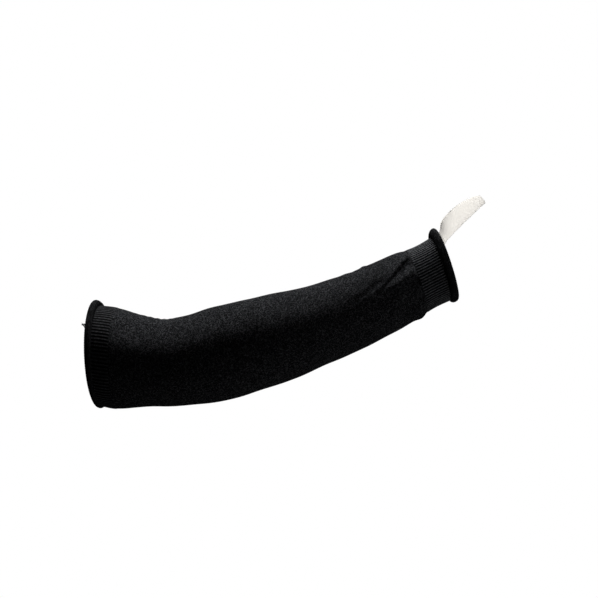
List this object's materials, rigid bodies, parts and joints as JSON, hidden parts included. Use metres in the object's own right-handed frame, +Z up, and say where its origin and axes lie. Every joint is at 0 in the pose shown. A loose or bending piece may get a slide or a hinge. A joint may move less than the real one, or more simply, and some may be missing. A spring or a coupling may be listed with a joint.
{
  "type": "cut resistant sleeve",
  "caption": "Long black knitted protective sleeve for the right forearm and elbow, slightly bent as worn, with a ribbed cuff, rolled hems and a white elastic thumb loop.",
  "frame": {"origin": "centre of the arm opening, on the middle line of the sleeve", "axes": "+X along the sleeve to the wrist opening, +Z up, on the inner side of the elbow and on the thumb loop's side, -Y on the side of the back of the hand"},
  "size_m": [0.3931, 0.0987, 0.2101],
  "materials": {
    "black_knit": "matte black plain knit with fine paler fibre speckle",
    "black_rib_knit": "matte black ribbed knit",
    "white_elastic": "matte ivory white woven elastic"
  },
  "bodies": {
    "root": {"arm_roll": "black_rib_knit", "arm_band": "black_rib_knit", "knit_body": "black_knit", "wrist_cuff": "black_rib_knit", "wrist_roll": "black_rib_knit", "thumb_loop": "white_elastic", "yarn_tail": "black_rib_knit"}
  },
  "joints": []
}
